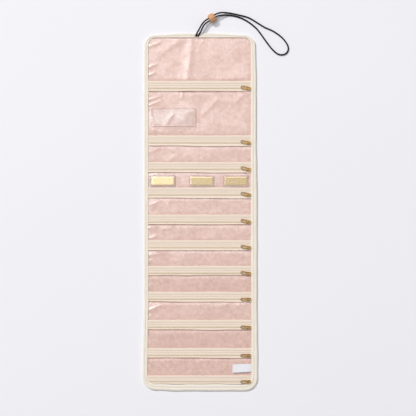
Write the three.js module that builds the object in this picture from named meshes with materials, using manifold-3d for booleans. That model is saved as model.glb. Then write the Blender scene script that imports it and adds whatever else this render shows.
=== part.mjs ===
// A jewelry roll lying open on a table, in millimetres.
// +Z is up, +Y points to the edge with the tie cord and +X to the ends where the zip sliders rest.
// Eleven clear pockets, each closed by a zip along its lower edge, sit in a row on a padded strip
// with a bound edge. The strip rolls up at the seams between the pockets.
import * as THREE from 'three';
import { mergeVertices } from 'three/addons/utils/BufferGeometryUtils.js';
import Module from 'manifold-3d';

const wasm = await Module();
wasm.setup();

// Gap kept between pieces that touch on the real object
const CLEARANCE = 0.3;

// Padded strip: cover, wadding and lining sewn together, with a rolled binding round the edge
const STRIP_WIDTH = 230;
const STRIP_LENGTH = 723.5;
const STRIP_CORNER_RADIUS = 17;
const PAD_THICKNESS = 2.2;
const BINDING_WIDTH = 9.5;
const BINDING_HEIGHT = 5;
const BINDING_ROUNDING = 1.6;
const BINDING_EDGE_STEPS = 3;

// Pockets below the first, each measured from seam to seam; the first takes the rest of the strip
const LOWER_POCKET_LENGTHS = [110.5, 54, 51.5, 55, 52, 52, 52.5, 57, 57, 53];
const POCKET_DEPTH = 1.4;
const VINYL_THICKNESS = 0.4;

// Zip tape with its coil, along the lower edge of each pocket
const TAPE_HEIGHT = 20.5;
const TAPE_THICKNESS = 0.8;
const COIL_WIDTH = 4;
const COIL_HEIGHT = 1.6;
const COIL_FROM_SEAM = 5.8;

// Zip slider: a channel over the coil with an arched crown on top
const SLIDER_LENGTH = 9.5;
const SLIDER_FRONT_WIDTH = 6.8;
const SLIDER_BACK_WIDTH = 6;
const SLIDER_PLATE = 1;
const SLIDER_END_GAP = 1.2;
const CROWN_LENGTH = 5.6;
const CROWN_WIDTH = 1.6;
const CROWN_BAR = 1;

// Zip pull: an open loop whose cross pin turns under the crown
const PULL_LENGTH = 16.5;
const PULL_WIDTH = 6.4;
const PULL_WIRE = 1.5;
const PULL_THICKNESS = 1.2;
const PULL_EDGE = 0.25;
const PULL_DROOP = THREE.MathUtils.degToRad(4.5);
const PULL_YAWS = [10.6, 11, 15, 13.6, 14, 11.5, 7, 0, 3, 1, 0].map(THREE.MathUtils.degToRad);
const PIN_DIAMETER = 1.2;
const PIN_HEIGHT = 1.2;

// Gold plates, side by side in one pocket
const PLATE_POCKET = 4;
const PLATE_NAMES = ['left', 'middle', 'right'];
const PLATE_SHIFTS = [-3.7, 4.6, 3.5];
const PLATE_DROP = 2;
const PLATE_WIDTH = 45;
const PLATE_HEIGHT = 16.5;
const PLATE_THICKNESS = 0.8;
const PLATE_CORNER = 1.5;

// Tie cord and bead. The cord is a doubled loop: both strands pass through the bead.
const CORD_DIAMETER = 3;
const CORD_SIDES = 8;
const CORD_STEPS = 90;
const STRAND_SPACING = 5;
const BEAD_DIAMETER = 18;
const BEAD_END_DIAMETER = 15;
const BEAD_LENGTH = 13;
const BEAD_SIDES = 20;
const BEAD_PLACE = new THREE.Vector3(25.4, 28.6, BEAD_DIAMETER / 2 + CLEARANCE);
const BEAD_ANGLE = THREE.MathUtils.degToRad(31);
const BEAD_TRAVEL_BACK = 2;
const BEAD_TRAVEL_FORWARD = 3;
const STRAND_LEAD = 1.5;

// Cord points: x from the middle of the strip, y past the strip's top edge, z above the table
const OUTER_ANCHOR = [[-7.3, -8, 3.8], [-6.4, -5.4, 5.25], [-5.4, -2.6, 6.9]];
const OUTER_RISE = [[-2, 2.9, 9.9], [1.8, 9.8, 12], [5.6, 15.9, 12.1], [10.6, 21.9, 10.6]];
const LOOP = [
  [42.6, 39.5, 7.2], [51, 40, 4.4], [59.5, 39.4, 2.4], [68, 38, 1.7], [83.2, 34.6, 1.7], [99.5, 29.9, 1.7],
  [115.7, 20.6, 1.7], [131.9, 10.6, 1.7], [148.2, 3.3, 1.7], [164.4, -7.7, 1.7], [173, -16.8, 1.7],
  [179, -26.5, 1.7], [180, -35.5, 1.7], [175.3, -42.6, 1.7], [167.3, -45.3, 1.7], [158.7, -43.5, 1.7],
  [148.2, -34.8, 1.7], [136, -19.5, 1.7], [123.8, -2.4, 1.7], [115.7, 7.8, 1.7], [103.5, 18.2, 1.7],
  [91.4, 25.9, 1.7], [79, 31.2, 1.7], [67, 34, 1.7], [58.5, 34.8, 2.4], [50.3, 34.7, 4.4], [42.6, 33.9, 7.2],
];
const INNER_FALL = [[14, 18.5, 10.5], [9.2, 13.7, 12], [5.9, 7.9, 11.8], [3.5, 2.5, 9.8]];
const INNER_ANCHOR = [[0.6, -2.6, 6.9], [-1.2, -5.4, 5.25], [-3.2, -8, 3.8]];

// Places worked out from the driving dimensions
const topEdge = STRIP_LENGTH / 2;
const innerWidth = STRIP_WIDTH - 2 * BINDING_WIDTH;
const innerLength = STRIP_LENGTH - 2 * BINDING_WIDTH;
const firstPocketLength = LOWER_POCKET_LENGTHS.reduce((rest, length) => rest - length, innerLength);
const pocketLengths = [firstPocketLength, ...LOWER_POCKET_LENGTHS];
const pocketCount = pocketLengths.length;
const innerRadius = STRIP_CORNER_RADIUS - BINDING_WIDTH;
const vinylBottom = PAD_THICKNESS + POCKET_DEPTH;
const tapeBottom = PAD_THICKNESS + CLEARANCE;
const tapeTop = tapeBottom + TAPE_THICKNESS;
const sliderX = innerWidth / 2 - SLIDER_END_GAP - SLIDER_LENGTH / 2;
const sliderTop = COIL_HEIGHT + CLEARANCE + SLIDER_PLATE;
const boreDiameter = STRAND_SPACING + CORD_DIAMETER + 2 * CLEARANCE;

// seams[0] is the inner edge of the top binding; seams[i] is the lower seam of pocket i
const seams = [topEdge - BINDING_WIDTH];
for (const length of pocketLengths) {
  seams.push(seams.at(-1) - length);
}

// Finishes
function finish(color, roughness, metalness = 0) {
  return new THREE.MeshStandardMaterial({ color, roughness, metalness });
}
const cloth = finish(0xf0e2d4, 0.85);
const vinyl = finish(0xf3dcd6, 0.15);
const tape = finish(0xecdece, 0.8);
const gold = finish(0xd8b877, 0.3, 1);
const plateGold = finish(0xdcc08a, 0.25, 1);
const elastic = finish(0x1b1a1c, 0.75);
const wood = finish(0xcd9664, 0.6);

const roll = new THREE.Group();

function addMesh(name, geometry, material, parent = roll) {
  const mesh = new THREE.Mesh(geometry, material);
  mesh.name = name;
  parent.add(mesh);
  return mesh;
}

function numbered(name, index) {
  return `${name}_${String(index).padStart(2, '0')}`;
}

// Booleans
function solid(geometry) {
  const bare = geometry.clone();
  bare.deleteAttribute('normal');
  bare.deleteAttribute('uv');
  const merged = mergeVertices(bare);
  const vertProperties = new Float32Array(merged.attributes.position.array);
  const triVerts = new Uint32Array(merged.index.array);
  return new wasm.Manifold(new wasm.Mesh({ numProp: 3, vertProperties, triVerts }));
}

function geometryOf(body) {
  const mesh = body.getMesh();
  const geometry = new THREE.BufferGeometry();
  geometry.setAttribute('position', new THREE.BufferAttribute(mesh.vertProperties, 3));
  geometry.setIndex(new THREE.BufferAttribute(mesh.triVerts, 1));
  geometry.computeVertexNormals();
  return geometry;
}

// Basic forms
function block(low, high) {
  const size = new THREE.Vector3().subVectors(high, low);
  const middle = new THREE.Vector3().addVectors(low, high).multiplyScalar(0.5);
  return new THREE.BoxGeometry(size.x, size.y, size.z).translate(middle.x, middle.y, middle.z);
}

function roundedRectangle(width, height, radius) {
  const x = width / 2;
  const y = height / 2;
  const shape = new THREE.Shape();
  shape.absarc(x - radius, y - radius, radius, 0, Math.PI / 2);
  shape.absarc(radius - x, y - radius, radius, Math.PI / 2, Math.PI);
  shape.absarc(radius - x, radius - y, radius, Math.PI, 1.5 * Math.PI);
  shape.absarc(x - radius, radius - y, radius, 1.5 * Math.PI, 2 * Math.PI);
  return shape;
}

function slab(shape, bottom, thickness, edge = 0, edgeSteps = 1) {
  return new THREE.ExtrudeGeometry(shape, {
    depth: thickness - 2 * edge,
    curveSegments: 4,
    bevelEnabled: edge > 0,
    bevelThickness: edge,
    bevelSize: edge,
    bevelOffset: -edge,
    bevelSegments: edgeSteps,
  }).translate(0, 0, bottom + edge);
}

// The part of a full-length form that lies between two heights of the strip
function lengthBetween(body, lowY, highY) {
  const low = new THREE.Vector3(-STRIP_WIDTH, lowY, -BINDING_HEIGHT);
  const high = new THREE.Vector3(STRIP_WIDTH, highY, 4 * BINDING_HEIGHT);
  return body.intersect(solid(block(low, high)));
}

// Tie cord route
function strandPoint(side, along) {
  const forward = new THREE.Vector2(Math.cos(BEAD_ANGLE), Math.sin(BEAD_ANGLE));
  const across = new THREE.Vector2(-forward.y, forward.x).multiplyScalar(side * STRAND_SPACING / 2);
  return [
    BEAD_PLACE.x + forward.x * along + across.x,
    BEAD_PLACE.y + forward.y * along + across.y,
    BEAD_PLACE.z,
  ];
}

const strandBack = -(BEAD_LENGTH / 2 + BEAD_TRAVEL_BACK);
const strandFront = BEAD_LENGTH / 2 + BEAD_TRAVEL_FORWARD;
const strandStations = [strandBack - STRAND_LEAD, strandBack, strandFront, strandFront + STRAND_LEAD];

function onTable([x, y, z]) {
  return new THREE.Vector3(x, topEdge + y, z);
}

const outerAnchor = OUTER_ANCHOR.map(onTable);
const innerAnchor = INNER_ANCHOR.map(onTable);
const cordPoints = [
  ...outerAnchor,
  ...OUTER_RISE.map(onTable),
  ...strandStations.map((along) => onTable(strandPoint(1, along))),
  ...LOOP.map(onTable),
  ...strandStations.toReversed().map((along) => onTable(strandPoint(-1, along))),
  ...INNER_FALL.map(onTable),
  ...innerAnchor,
];

// Hole in the binding that a cord end is sewn into, from the cord's end out past the binding
function anchorHole(end, mouth) {
  const direction = new THREE.Vector3().subVectors(mouth, end).normalize();
  const start = end.clone().addScaledVector(direction, -CLEARANCE);
  const length = start.distanceTo(mouth) + BINDING_HEIGHT;
  const radius = CORD_DIAMETER / 2 + CLEARANCE;
  const turn = new THREE.Quaternion().setFromUnitVectors(new THREE.Vector3(0, 1, 0), direction);
  const middle = start.clone().addScaledVector(direction, length / 2);
  return new THREE.CylinderGeometry(radius, radius, length, 16)
    .applyQuaternion(turn)
    .translate(middle.x, middle.y, middle.z);
}

// Panels: the bound strip cut at the seams
function addPanels() {
  const outline = roundedRectangle(STRIP_WIDTH, STRIP_LENGTH, STRIP_CORNER_RADIUS);
  const recess = roundedRectangle(innerWidth, innerLength, innerRadius);
  const strip = solid(slab(outline, 0, BINDING_HEIGHT, BINDING_ROUNDING, BINDING_EDGE_STEPS))
    .subtract(solid(slab(recess, PAD_THICKNESS, BINDING_HEIGHT)))
    .subtract(solid(anchorHole(outerAnchor[0], outerAnchor[1])))
    .subtract(solid(anchorHole(innerAnchor[2], innerAnchor[1])));
  for (let pocket = 1; pocket <= pocketCount; pocket += 1) {
    const low = pocket === pocketCount ? -STRIP_LENGTH : seams[pocket] + CLEARANCE / 2;
    const high = pocket === 1 ? STRIP_LENGTH : seams[pocket - 1] - CLEARANCE / 2;
    addMesh(numbered('panel', pocket), geometryOf(lengthBetween(strip, low, high)), cloth);
  }
}

// Windows: clear sheets that fill each pocket's front from the seam above down to its zip
function addWindows() {
  const width = innerWidth - 2 * CLEARANCE;
  const outline = roundedRectangle(width, innerLength - 2 * CLEARANCE, innerRadius - CLEARANCE);
  const sheet = solid(slab(outline, vinylBottom, VINYL_THICKNESS));
  for (let pocket = 1; pocket <= pocketCount; pocket += 1) {
    const low = seams[pocket] + TAPE_HEIGHT + CLEARANCE;
    const high = seams[pocket - 1] - CLEARANCE;
    addMesh(numbered('window', pocket), geometryOf(lengthBetween(sheet, low, high)), vinyl);
  }
}

// Zip tapes: a flat tape with the coil's half-round ridge, drawn across and run along X
function tapeProfile() {
  const half = COIL_WIDTH / 2;
  const profile = new THREE.Shape();
  profile.moveTo(CLEARANCE, 0);
  profile.lineTo(TAPE_HEIGHT, 0);
  profile.lineTo(TAPE_HEIGHT, TAPE_THICKNESS);
  profile.lineTo(COIL_FROM_SEAM + half, TAPE_THICKNESS);
  profile.absellipse(COIL_FROM_SEAM, TAPE_THICKNESS, half, COIL_HEIGHT, 0, Math.PI);
  profile.lineTo(CLEARANCE, TAPE_THICKNESS);
  return profile;
}

function addZipTapes() {
  const length = innerWidth - 2 * CLEARANCE;
  const outline = roundedRectangle(length, innerLength - 2 * CLEARANCE, innerRadius - CLEARANCE);
  const inside = solid(slab(outline, 0, 2 * BINDING_HEIGHT));
  const runOptions = { depth: length, bevelEnabled: false, curveSegments: 8 };
  const run = new THREE.ExtrudeGeometry(tapeProfile(), runOptions)
    .rotateX(Math.PI / 2)
    .rotateZ(Math.PI / 2)
    .translate(-length / 2, 0, tapeBottom);
  for (let pocket = 1; pocket <= pocketCount; pocket += 1) {
    const placed = solid(run.clone().translate(0, seams[pocket], 0));
    addMesh(numbered('zip_tape', pocket), geometryOf(placed.intersect(inside)), tape);
  }
}

// Slider, drawn about the coil's line on the tape's top face
function sliderOutline() {
  const front = SLIDER_LENGTH / 2;
  const shoulder = SLIDER_LENGTH / 5;
  const shape = new THREE.Shape();
  shape.moveTo(-front, -SLIDER_BACK_WIDTH / 2);
  shape.lineTo(shoulder - front, -SLIDER_BACK_WIDTH / 2);
  shape.lineTo(front - shoulder, -SLIDER_FRONT_WIDTH / 2);
  shape.quadraticCurveTo(front, -SLIDER_FRONT_WIDTH / 2, front, 0);
  shape.quadraticCurveTo(front, SLIDER_FRONT_WIDTH / 2, front - shoulder, SLIDER_FRONT_WIDTH / 2);
  shape.lineTo(shoulder - front, SLIDER_BACK_WIDTH / 2);
  shape.lineTo(-front, SLIDER_BACK_WIDTH / 2);
  return shape;
}

// Crown, drawn from the side: an arch with a tunnel for the pull's pin
function crownOutline() {
  const half = CROWN_LENGTH / 2;
  const tunnelTop = PIN_HEIGHT + PIN_DIAMETER / 2 + CLEARANCE;
  const top = tunnelTop + CROWN_BAR;
  const arch = new THREE.Shape();
  arch.moveTo(-half, -SLIDER_PLATE / 2);
  arch.lineTo(half, -SLIDER_PLATE / 2);
  arch.lineTo(half, top / 3);
  arch.quadraticCurveTo(half, top, half - CROWN_BAR, top);
  arch.lineTo(CROWN_BAR - half, top);
  arch.quadraticCurveTo(-half, top, -half, top / 3);
  const tunnel = new THREE.Path();
  const reach = half - CROWN_BAR;
  tunnel.moveTo(-reach, 0);
  tunnel.lineTo(-reach, tunnelTop);
  tunnel.lineTo(reach, tunnelTop);
  tunnel.lineTo(reach, 0);
  arch.holes.push(tunnel);
  return arch;
}

function sliderGeometry() {
  const channelHalf = COIL_WIDTH / 2 + CLEARANCE;
  const channel = block(
    new THREE.Vector3(-SLIDER_LENGTH, -channelHalf, -SLIDER_PLATE),
    new THREE.Vector3(SLIDER_LENGTH, channelHalf, COIL_HEIGHT + CLEARANCE),
  );
  const crownOptions = { depth: CROWN_WIDTH, bevelEnabled: false, curveSegments: 4 };
  const crown = new THREE.ExtrudeGeometry(crownOutline(), crownOptions)
    .rotateX(Math.PI / 2)
    .translate(0, CROWN_WIDTH / 2, sliderTop);
  const body = slab(sliderOutline(), CLEARANCE, sliderTop - CLEARANCE);
  return geometryOf(solid(body).subtract(solid(channel)).add(solid(crown)));
}

// Pull, drawn about its pin and lying towards -X
function pullOutline() {
  const outer = PULL_WIDTH / 2;
  const inner = outer - PULL_WIRE;
  const open = PIN_DIAMETER / 2;
  const bend = outer - PULL_LENGTH;
  const shape = new THREE.Shape();
  shape.moveTo(open, inner);
  shape.lineTo(open, outer);
  shape.absarc(bend, 0, outer, Math.PI / 2, 1.5 * Math.PI);
  shape.lineTo(open, -outer);
  shape.lineTo(open, -inner);
  shape.absarc(bend, 0, inner, 1.5 * Math.PI, Math.PI / 2, true);
  return shape;
}

function pullGeometry() {
  const pin = new THREE.CylinderGeometry(PIN_DIAMETER / 2, PIN_DIAMETER / 2, PULL_WIDTH - PULL_WIRE, 12);
  const loop = slab(pullOutline(), -PULL_THICKNESS / 2, PULL_THICKNESS, PULL_EDGE);
  return geometryOf(solid(loop).add(solid(pin)));
}

function addSlidersAndPulls() {
  const slider = sliderGeometry();
  const pull = pullGeometry();
  for (let pocket = 1; pocket <= pocketCount; pocket += 1) {
    const zip = new THREE.Group();
    zip.position.set(sliderX, seams[pocket] + COIL_FROM_SEAM, tapeTop);
    roll.add(zip);
    addMesh(numbered('slider', pocket), slider, gold, zip);
    const hanger = new THREE.Group();
    hanger.position.z = sliderTop + PIN_HEIGHT;
    hanger.rotation.z = -PULL_YAWS[pocket - 1];
    zip.add(hanger);
    addMesh(numbered('pull', pocket), pull, gold, hanger).rotation.y = -PULL_DROOP;
  }
}

// Gold plates, one in each third of their pocket
function addPlates() {
  const column = innerWidth / PLATE_NAMES.length;
  const windowTop = seams[PLATE_POCKET - 1];
  const windowBottom = seams[PLATE_POCKET] + TAPE_HEIGHT;
  const plate = slab(roundedRectangle(PLATE_WIDTH, PLATE_HEIGHT, PLATE_CORNER), tapeBottom, PLATE_THICKNESS);
  PLATE_NAMES.forEach((side, index) => {
    const columnMiddle = (index + 0.5) * column - innerWidth / 2;
    const mesh = addMesh(`gold_plate_${side}`, plate, plateGold);
    mesh.position.x = columnMiddle + PLATE_SHIFTS[index];
    mesh.position.y = (windowTop + windowBottom) / 2 - PLATE_DROP;
  });
}

function addCord() {
  const section = new THREE.Shape();
  for (let side = 0; side < CORD_SIDES; side += 1) {
    const turn = (2 * Math.PI * side) / CORD_SIDES;
    const x = Math.cos(turn) * CORD_DIAMETER / 2;
    const y = Math.sin(turn) * CORD_DIAMETER / 2;
    if (side === 0) {
      section.moveTo(x, y);
    } else {
      section.lineTo(x, y);
    }
  }
  const route = new THREE.CatmullRomCurve3(cordPoints);
  const tube = new THREE.ExtrudeGeometry(section, { extrudePath: route, steps: CORD_STEPS });
  addMesh('tie_cord', tube, elastic);
}

// Bead: a barrel with one bore wide enough for both strands
function addBead() {
  const rings = 6;
  const half = BEAD_LENGTH / 2;
  const profile = [new THREE.Vector2(boreDiameter / 2, -half)];
  for (let ring = 0; ring <= rings; ring += 1) {
    const share = (2 * ring) / rings - 1;
    const swell = (BEAD_DIAMETER - BEAD_END_DIAMETER) * (1 - share * share);
    profile.push(new THREE.Vector2((BEAD_END_DIAMETER + swell) / 2, share * half));
  }
  profile.push(new THREE.Vector2(boreDiameter / 2, half));
  profile.push(profile[0].clone());
  const mesh = addMesh('cord_bead', new THREE.LatheGeometry(profile, BEAD_SIDES), wood);
  mesh.position.set(BEAD_PLACE.x, topEdge + BEAD_PLACE.y, BEAD_PLACE.z);
  mesh.rotation.z = BEAD_ANGLE - Math.PI / 2;
}

addPanels();
addWindows();
addZipTapes();
addSlidersAndPulls();
addPlates();
addCord();
addBead();

export default roll;
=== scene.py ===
"""A jewelry roll lying open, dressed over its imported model: cloth, clear pockets, zips, cord and bead."""
import math

import bpy
import bmesh
import numpy as np
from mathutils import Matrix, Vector


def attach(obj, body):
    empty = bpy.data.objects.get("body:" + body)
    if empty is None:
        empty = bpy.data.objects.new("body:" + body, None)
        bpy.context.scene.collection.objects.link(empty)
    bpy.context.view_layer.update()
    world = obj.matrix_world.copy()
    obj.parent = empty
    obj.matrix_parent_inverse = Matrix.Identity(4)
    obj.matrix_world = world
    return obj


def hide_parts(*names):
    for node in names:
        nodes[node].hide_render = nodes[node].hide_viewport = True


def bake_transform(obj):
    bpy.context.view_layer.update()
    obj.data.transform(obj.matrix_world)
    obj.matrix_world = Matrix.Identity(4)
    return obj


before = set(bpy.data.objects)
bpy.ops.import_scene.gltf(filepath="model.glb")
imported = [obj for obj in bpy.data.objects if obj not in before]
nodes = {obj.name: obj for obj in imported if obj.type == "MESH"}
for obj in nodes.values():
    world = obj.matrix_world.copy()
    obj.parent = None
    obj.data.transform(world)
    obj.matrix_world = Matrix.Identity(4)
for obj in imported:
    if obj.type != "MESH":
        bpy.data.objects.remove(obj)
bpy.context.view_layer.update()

# Sizes in millimetres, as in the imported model
MM = 0.001
STRIP_WIDTH = 230.0
STRIP_LENGTH = 723.5
CORNER_RADIUS = 17.0
BINDING_WIDTH = 9.5
PAD_TOP = 2.2
POCKET_LENGTHS = [110, 110.5, 54, 51.5, 55, 52, 52, 52.5, 57, 57, 53]
TAPE_HEIGHT = 20.5
COIL_FROM_SEAM = 5.8
PLATE_POCKET = 4
PLATE_SIDES = ["left", "middle", "right"]
PLATE_CENTRES = [(-74.03, 60.25), (4.6, 60.25), (73.83, 60.25)]
PLATE_SIZE = (45.0, 16.5)
HINGE_REACH = 7.0

# Tie cord and bead, measured from the middle of the top edge and up from the table
CORD_DIAMETER = 3.0
CORD_LENGTH = 483.0
CORD_ON_TABLE = 1.7
STRAND_SPACING = 5.0
BEAD_DIAMETER = 18.0
BEAD_END_DIAMETER = 15.0
BEAD_LENGTH = 13.0
BEAD_BORE = 8.6
BEAD_PLACE = (25.4, 28.6, 9.3)
BEAD_ANGLE = math.radians(31)
BEAD_LIP = 0.9
BEAD_LIP_START = 0.86
BEAD_SIDES = 56
BORE_ROUNDING = [(0.5, 0.0), (0.1, 0.4), (0.0, 1.0)]
STRAND_STATIONS = [-10.0, -8.5, 9.5, 11.0]
OUTER_ANCHOR = [[-7.3, -8, 3.8], [-6.4, -5.4, 5.25], [-5.4, -2.6, 6.9]]
OUTER_RISE = [[-2, 2.9, 9.9], [1.8, 9.8, 12], [5.6, 15.9, 12.1], [10.6, 21.9, 10.6]]
LOOP_FALL = [[42.6, 39.5, 7.2], [51, 40, 4.4], [59.5, 39.4, 2.4]]
LOOP = [
    (68, 38), (83.2, 34.6), (99.5, 29.9), (115.7, 20.6), (131.9, 10.6), (148.2, 3.3), (164.4, -7.7),
    (173, -16.8), (179, -26.5), (180, -35.5), (175.3, -42.6), (167.3, -45.3), (158.7, -43.5),
    (148.2, -34.8), (136, -19.5), (123.8, -2.4), (115.7, 7.8), (103.5, 18.2), (91.4, 25.9), (79, 31.2),
    (67, 34),
]
LOOP_RISE = [[58.5, 34.8, 2.4], [50.3, 34.7, 4.4], [42.6, 33.9, 7.2]]
INNER_FALL = [[14, 18.5, 10.5], [9.2, 13.7, 12], [5.9, 7.9, 11.8], [3.5, 2.5, 9.8]]
INNER_ANCHOR = [[0.6, -2.6, 6.9], [-1.2, -5.4, 5.25], [-3.2, -8, 3.8]]

# Camera: straight above, as wide at the table as the photograph's frame
CAMERA_PLACE = (17.3, 5.6, 3000.0)
VIEW_WIDTH = 844.5
SENSOR_WIDTH = 36.0
FAR_CLIP = 100000.0

# Soft square lights: azimuth and tilt from straight above in degrees, size in metres, power in watts
LIGHT_DISTANCE = 12.0
LIGHTS = [
    ("key", 129, 44, 0.7, 700.0),
    ("overhead_panel", 112, 18, 6.4, 275.0),
    ("side_panel", 170, 22, 2.8, 145.0),
    ("top_panel", 112, 36, 2.3, 140.0),
]
WORLD_STRENGTH = 0.27
BACKDROP_STRENGTH = 0.9
PALE_TINT = (0.985, 0.985, 1.0, 1)
FLOOR_SIZE = 30.0
FLOOR_FADE = (1.2, 4.5)
FLOOR_DROP = 0.0002

# Patches in the materials, as noise scales on a map in metres
TONE_SCALE = 45.0
MOTTLE_SCALE = 130.0
SLUB_SCALE = 800.0
TARNISH_SCALE = 350.0
HAZE_SCALE = 45.0
WELD_SCALE = 120.0
NYLON_SCALE = 300.0
FLOOR_SCALE = 3.0
BRUSHING = (60, 6000, 600)
WOOD_GRAIN = (420, 60, 1)
WOOD_RINGS_SCALE = 55.0
BRAID_LENGTH = 1.6
BRAID_STRANDS = 4
BRAID_SCALE = 0.314

# Cloth details in millimetres
STITCH_PITCH = 2.8
STITCH_SIZE = (2.1, 0.5, 0.4)
STITCH_RINGS = np.array([(-0.5, 0.45), (-0.32, 1.0), (0.32, 1.0), (0.5, 0.45)])
STITCH_SIDES = 6
PAD_INSET = 9.8
FILM_INSET = BINDING_WIDTH + 0.2
COIL_INSET = BINDING_WIDTH + 0.3
WINDOW_THICKNESS = 0.3
WINDOW_STEP = 1.0
DIVIDERS = {2: [1.0], 3: [1.0], 4: [-39.6, 37.6], 5: [-39.6, 37.6], 6: [-39.6, 37.6]}
ACROSS = (1, 0, 0)
LENGTHWISE = (0, 1, 0)
UP = (0, 0, 1)
DOWN = (0, 0, -1)

# Clear sleeves; the weld is given by its place and width, the rim by its width
PLATE_SLEEVE = dict(size=(51.0, 24.0), step=0.8, gap=0.0, bow=0.0, sheet=0.18, weld=(1.6, 0.6), rim=0.9)
CARD_SLEEVE = dict(size=(90.3, 37.0), step=1.2, gap=0.05, bow=0.35, sheet=0.2, weld=(2.0, 0.7), rim=0.8)

# Places worked out from the sizes
top_edge = STRIP_LENGTH / 2
inner_half_length = top_edge - BINDING_WIDTH
pocket_count = len(POCKET_LENGTHS)
pockets = range(1, pocket_count + 1)
seams = [inner_half_length]
for pocket_length in POCKET_LENGTHS:
    seams.append(seams[-1] - pocket_length)
middles = [(seams[index] + seams[index + 1]) / 2 for index in range(pocket_count)]


def numbered(name, index):
    return f"{name}_{index:02d}"


def ramp(low, high, value):
    share = np.clip((value - low) / (high - low), 0, 1)
    return share * share * (3 - 2 * share)


def bell(distance, width):
    return np.exp(-(distance / width) ** 2)


def stacked(*values):
    """Points or maps from their separate values, spread over the same grid."""
    return np.stack(np.broadcast_arrays(*values), -1)


def run_along(points):
    """The distance of each point along the line through all of them."""
    return np.concatenate([[0], np.cumsum(np.linalg.norm(np.diff(points, axis=0), axis=1))])


def ripples(x, y, wavelength, seed, count=7):
    """Soft, even bumps from -1 to 1: a seeded sum of slanting waves."""
    random = np.random.default_rng(seed)
    total = np.zeros_like(x + y)
    for _ in range(count):
        turn = random.uniform(0, 2 * math.pi)
        length = wavelength * random.uniform(0.7, 1.6)
        phase = random.uniform(0, 2 * math.pi)
        total += np.sin(2 * math.pi * (x * math.cos(turn) + y * math.sin(turn)) / length + phase)
    return total / count * 1.6


def inside_box(x, y, centre, size):
    """How far each point lies inside a rectangle, negative outside it."""
    return np.minimum(size[0] / 2 - np.abs(x - centre[0]), size[1] / 2 - np.abs(y - centre[1]))


def half_across(y, size, radius):
    """Half the width, at each y, of a rectangle with rounded corners."""
    past = np.clip(np.abs(y) - (size[1] / 2 - radius), 0, radius)
    return size[0] / 2 - radius + np.sqrt(radius * radius - past * past)


def half_width_at(y, inset):
    """Half the strip's width at each y, measured to a line that runs inset from its edge."""
    size = (STRIP_WIDTH - 2 * inset, STRIP_LENGTH - 2 * inset)
    return half_across(y, size, CORNER_RADIUS - inset)


film_half_width = half_width_at(0.0, FILM_INSET)


def add_object(name, data):
    obj = bpy.data.objects.new(name, data)
    bpy.context.scene.collection.objects.link(obj)
    return obj


# Camera
def add_camera():
    data = bpy.data.cameras.new("camera")
    data.sensor_width = SENSOR_WIDTH
    data.lens = SENSOR_WIDTH * CAMERA_PLACE[2] / VIEW_WIDTH
    data.clip_end = FAR_CLIP * MM
    camera = add_object("camera", data)
    camera.location = Vector(CAMERA_PLACE) * MM
    bpy.context.scene.camera = camera


add_camera()


# Materials
def set_inputs(tree, node, inputs):
    """Links each input that is given a socket, and sets the others."""
    for key, value in inputs.items():
        if isinstance(value, bpy.types.NodeSocket):
            tree.links.new(value, node.inputs[key])
        else:
            node.inputs[key].default_value = value


def add_node(tree, kind, inputs=None, output=0, **settings):
    """Adds a shader node and gives one of its outputs."""
    node = tree.nodes.new(f"ShaderNode{kind}")
    for key, value in settings.items():
        setattr(node, key, value)
    set_inputs(tree, node, inputs or {})
    return node.outputs[output]


def combine(tree, operation, *values, clamp=False):
    return add_node(tree, "Math", dict(enumerate(values)), operation=operation, use_clamp=clamp)


def screen(colour):
    """A colour as it shows on screen, from 0 to 255, as light."""
    light = []
    for value in colour:
        share = value / 255
        light.append(share / 12.92 if share <= 0.04045 else ((share + 0.055) / 1.055) ** 2.4)
    return (*light, 1.0)


def mix_colours(tree, share, first, second):
    return add_node(tree, "Mix", {0: share, 6: first, 7: second}, 2, data_type="RGBA")


def tones(tree, share, dark, light):
    return mix_colours(tree, share, screen(dark), screen(light))


def mix_shaders(tree, share, first, second):
    return add_node(tree, "MixShader", {0: share, 1: first, 2: second})


def cloth_map(tree):
    return add_node(tree, "UVMap", uv_map="cloth")


def object_map(tree):
    return add_node(tree, "TexCoord", output="Object")


def stretched(tree, place, scale):
    return add_node(tree, "Mapping", {0: place, "Scale": scale})


def waves(tree, place, scale, direction, **detail):
    inputs = {0: place, "Scale": scale, **detail}
    return add_node(tree, "TexWave", inputs, "Fac", bands_direction=direction)


def ribs(tree, place, pitch, direction, degrees=0):
    """Even ribs, a pitch in millimetres apart, on a map in metres."""
    turned = add_node(tree, "Mapping", {0: place, "Rotation": (0, 0, math.radians(degrees))})
    return waves(tree, turned, math.pi / (10 * pitch * MM), direction)


def patches(tree, place, scale, detail=3.0):
    return add_node(tree, "TexNoise", {"Vector": place, "Scale": scale, "Detail": detail}, "Fac")


def bump(tree, shader, height, strength, depth):
    inputs = {"Height": height, "Strength": strength, "Distance": depth * MM}
    set_inputs(tree, shader, {"Normal": add_node(tree, "Bump", inputs)})


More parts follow.
